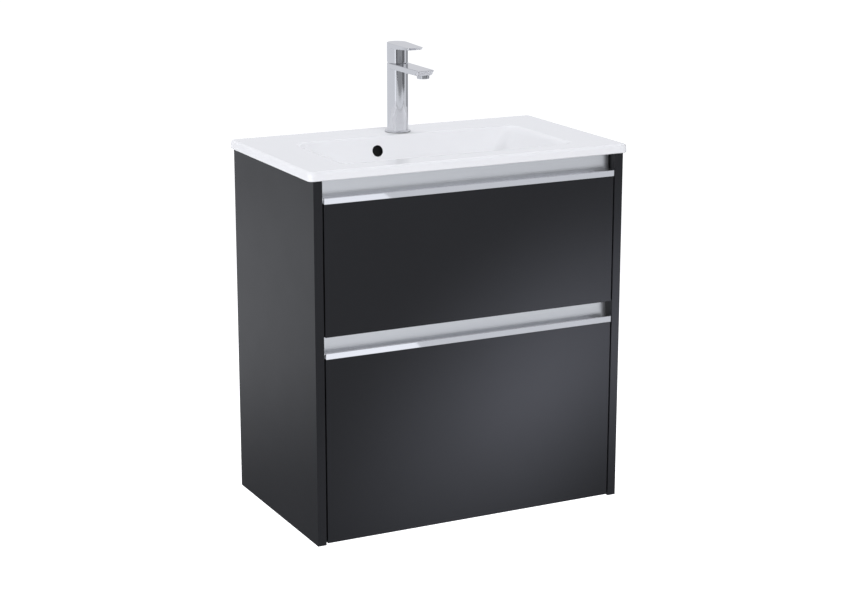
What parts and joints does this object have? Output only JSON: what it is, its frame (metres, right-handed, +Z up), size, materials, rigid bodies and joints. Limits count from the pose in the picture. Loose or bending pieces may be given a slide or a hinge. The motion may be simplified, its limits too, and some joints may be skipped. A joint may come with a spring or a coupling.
{
  "type": "wall-hung vanity cabinet",
  "caption": "Wall-hung bathroom vanity: board carcass with inset drawers pulled by aluminium finger channels, under a thin-rimmed ceramic basin with a single-lever tap, waste and bottle trap.",
  "frame": {"origin": "on the wall, in the middle of the four wall screws", "axes": "+X to the right along the front, +Y into the wall, +Z up"},
  "size_m": [0.607, 0.355, 0.808],
  "materials": {
    "carcass_board": "anthracite satin lacquer on board",
    "front_board": "anthracite satin lacquer on board",
    "drawer_board": "grey melamine-faced board, matt",
    "recess_liner": "grey moulded plastic, matt",
    "profile": "brushed and clear anodised along its length, bright lip",
    "dowel": "fluted beech",
    "screw": "zinc plated",
    "runner": "zinc-plated sheet",
    "bracket": "zinc-plated sheet",
    "ceramic": "glossy white glaze",
    "chrome": "polished chrome plate",
    "aerator": "polished chrome ring with a grey mesh",
    "seal": "black rubber",
    "trap": "white polypropylene, slightly glossy",
    "cartridge": "grey engineering plastic",
    "tap_brass": "turned brass",
    "fixing_steel": "zinc-plated steel"
  },
  "bodies": {
    "cabinet": {"basin": "ceramic", "bottom_panel": "carcass_board", "cabinet_screws": "screw", "carcass_dowels": "dowel", "cartridge_nut": "tap_brass", "front_tie_bar": "bracket", "left_hanger_bracket": "bracket", "left_side_panel": "carcass_board", "left_wall_plate": "bracket", "lower_back_rail": "carcass_board", "lower_left_runner_rail": "runner", "lower_right_runner_rail": "runner", "right_hanger_bracket": "bracket", "right_side_panel": "carcass_board", "right_wall_plate": "bracket", "tap_aerator": "aerator", "tap_body": "chrome", "tap_cartridge": "cartridge", "tap_fixing_nut": "tap_brass", "tap_fixing_plate": "fixing_steel", "tap_fixing_stud": "fixing_steel", "trap_bottle": "trap", "trap_cup": "trap", "trap_dip_tube": "trap", "trap_nut": "trap", "trap_outlet_pipe": "trap", "upper_back_rail": "carcass_board", "upper_left_runner_rail": "runner", "upper_right_runner_rail": "runner", "waste_body": "chrome", "waste_nut": "trap", "waste_washer": "seal"},
    "upper_drawer": {"upper_drawer_bottom": "drawer_board", "upper_drawer_dowels": "dowel", "upper_drawer_front": "front_board", "upper_drawer_left_back": "drawer_board", "upper_drawer_left_side": "drawer_board", "upper_drawer_recess": "recess_liner", "upper_drawer_right_back": "drawer_board", "upper_drawer_right_side": "drawer_board", "upper_drawer_screws": "screw", "upper_handle_profile": "profile", "upper_left_runner_slide": "runner", "upper_right_runner_slide": "runner"},
    "upper_runner": {"upper_runner_links": "runner"},
    "lower_drawer": {"lower_drawer_back": "drawer_board", "lower_drawer_bottom": "drawer_board", "lower_drawer_dowels": "dowel", "lower_drawer_front": "front_board", "lower_drawer_left_side": "drawer_board", "lower_drawer_right_side": "drawer_board", "lower_drawer_screws": "screw", "lower_handle_profile": "profile", "lower_left_runner_slide": "runner", "lower_right_runner_slide": "runner"},
    "lower_runner": {"lower_runner_links": "runner"},
    "tap_swivel": {"cartridge_carrier": "cartridge"},
    "tap_handle": {"tap_lever": "chrome", "cartridge_spindle": "tap_brass"},
    "plug": {"waste_plug": "chrome"}
  },
  "joints": [
    {"name": "upper_drawer_slide", "type": "slide", "parent": "cabinet", "child": "upper_drawer", "axis": [0, -1, 0], "range_m": [0, 0.28]},
    {"name": "upper_runner_slide", "type": "slide", "parent": "cabinet", "child": "upper_runner", "axis": [0, -1, 0], "range_m": [0, 0.14]},
    {"name": "lower_drawer_slide", "type": "slide", "parent": "cabinet", "child": "lower_drawer", "axis": [0, -1, 0], "range_m": [0, 0.28]},
    {"name": "lower_runner_slide", "type": "slide", "parent": "cabinet", "child": "lower_runner", "axis": [0, -1, 0], "range_m": [0, 0.14]},
    {"name": "tap_swivel", "type": "hinge", "parent": "cabinet", "child": "tap_swivel", "pos_m": [0, -0.057, 0.216], "axis": [0, 0, 1], "range_deg": [-50, 50]},
    {"name": "tap_lift", "type": "hinge", "parent": "tap_swivel", "child": "tap_handle", "pos_m": [0, -0.057, 0.216], "axis": [-1, 0, 0], "range_deg": [0, 20]},
    {"name": "plug_lift", "type": "slide", "parent": "cabinet", "child": "plug", "axis": [0, 0, 1], "range_m": [0, 0.008]}
  ],
  "couplings": [
    {"joint": "upper_runner_slide", "follows": "upper_drawer_slide", "ratio": 0.5},
    {"joint": "lower_runner_slide", "follows": "lower_drawer_slide", "ratio": 0.5}
  ]
}
